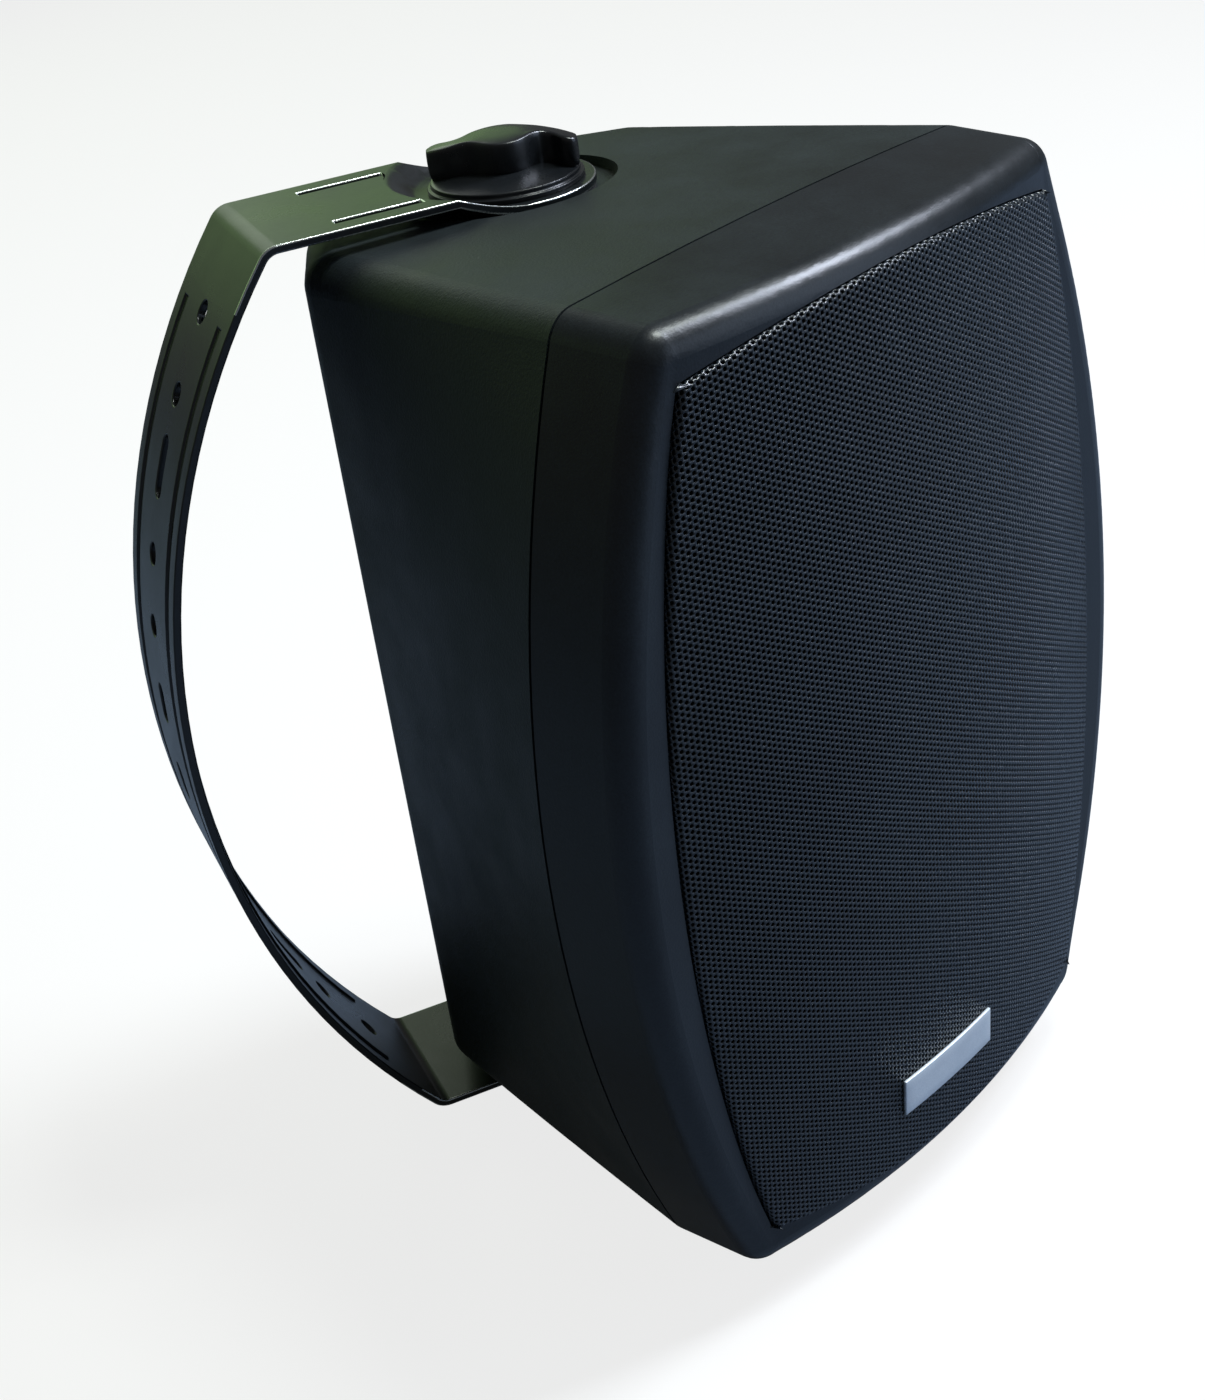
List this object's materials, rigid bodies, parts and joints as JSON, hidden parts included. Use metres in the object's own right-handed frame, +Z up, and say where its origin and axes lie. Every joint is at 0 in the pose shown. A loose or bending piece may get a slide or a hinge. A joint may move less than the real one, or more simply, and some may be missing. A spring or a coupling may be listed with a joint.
{
  "type": "wall loudspeaker",
  "caption": "Two-way weatherproof wall loudspeaker with a bowed cabinet and crowned perforated grille, clamped by knobs in a swivelling strip-steel wall bracket.",
  "frame": {"origin": "point where the outer face of the bracket's arm bears on the wall, at mid-height", "axes": "+Z up, the grille faces -Y in the stored pose, the wall lies towards -X and +Y along the direction of mount wall_contact"},
  "size_m": [0.2491, 0.2263, 0.32],
  "materials": {
    "case_plastic": "fine moulded grain",
    "bezel_plastic": "satin",
    "grille_paint": "satin powder coat on perforated steel",
    "scrim_cloth": "woven",
    "badge_metal": "brushed, bare",
    "seal_rubber": "matt",
    "basket_plastic": "matt",
    "surround_rubber": "satin",
    "cone_plastic": "satin",
    "spider_cloth": "woven",
    "copper": "enamelled wire",
    "motor_steel": "zinc plated",
    "ferrite": "matt",
    "dome_silk": "coated",
    "board_laminate": "lacquered",
    "capacitor_sleeve": "shrunk sleeve",
    "resistor_ceramic": "matt",
    "terminal_plastic": "satin",
    "post_brass": "bright",
    "cap_red": "gloss",
    "cap_black": "gloss",
    "bracket_paint": "satin powder coat",
    "knob_plastic": "satin",
    "screw_steel": "zinc plated"
  },
  "bodies": {
    "bracket_arm": {"bracket": "bracket_paint"},
    "cabinet": {"rear_cabinet": "case_plastic", "front_baffle": "bezel_plastic", "baffle_gasket": "seal_rubber", "grille": "grille_paint", "grille_scrim": "scrim_cloth", "badge_plate": "badge_metal", "woofer_basket": "basket_plastic", "woofer_gasket": "seal_rubber", "woofer_surround": "surround_rubber", "woofer_spider": "spider_cloth", "woofer_top_plate": "motor_steel", "woofer_magnet": "ferrite", "woofer_pole_yoke": "motor_steel", "tweeter_faceplate": "basket_plastic", "tweeter_dome": "dome_silk", "tweeter_top_plate": "motor_steel", "tweeter_magnet": "ferrite", "tweeter_pole_yoke": "motor_steel", "bass_port": "basket_plastic", "crossover_board": "board_laminate", "crossover_inductor": "copper", "crossover_capacitors": "capacitor_sleeve", "crossover_resistor": "resistor_ceramic", "terminal_plate": "terminal_plastic", "terminal_posts": "post_brass", "threaded_inserts": "post_brass", "friction_washers": "seal_rubber", "baffle_screws": "screw_steel", "woofer_screws": "screw_steel", "tweeter_screws": "screw_steel", "crossover_screws": "screw_steel", "terminal_screws": "screw_steel"},
    "top_clamp": {"top_knob": "knob_plastic", "top_stud": "screw_steel"},
    "bottom_clamp": {"bottom_knob": "knob_plastic", "bottom_stud": "screw_steel"},
    "cone_assembly": {"woofer_cone": "cone_plastic", "woofer_dust_cap": "cone_plastic", "voice_coil": "copper"},
    "red_cap": {"terminal_cap_red": "cap_red"},
    "black_cap": {"terminal_cap_black": "cap_black"}
  },
  "joints": [
    {"name": "swivel", "type": "hinge", "parent": "bracket_arm", "child": "cabinet", "pos_m": [0.12315, -0.05432, 0], "axis": [0, 0, 1], "range_deg": [-30, 162]},
    {"name": "top_clamp_turn", "type": "hinge", "parent": "cabinet", "child": "top_clamp", "pos_m": [0.12315, -0.05432, 0.15], "axis": [0, 0, 1], "range_deg": [0, 360]},
    {"name": "bottom_clamp_turn", "type": "hinge", "parent": "cabinet", "child": "bottom_clamp", "pos_m": [0.12315, -0.05432, -0.15], "axis": [0, 0, -1], "range_deg": [0, 360]},
    {"name": "cone_travel", "type": "slide", "parent": "cabinet", "child": "cone_assembly", "axis": [0, -1, 0], "range_m": [-0.003, 0.003], "stiffness_N_per_m": 1500, "deforming": ["woofer_surround", "woofer_spider"]},
    {"name": "red_cap_turn", "type": "hinge", "parent": "cabinet", "child": "red_cap", "pos_m": [0.13615, -0.0123, -0.042], "axis": [0, 1, 0], "range_deg": [0, 360]},
    {"name": "black_cap_turn", "type": "hinge", "parent": "cabinet", "child": "black_cap", "pos_m": [0.11015, -0.0123, -0.042], "axis": [0, 1, 0], "range_deg": [0, 360]}
  ]
}
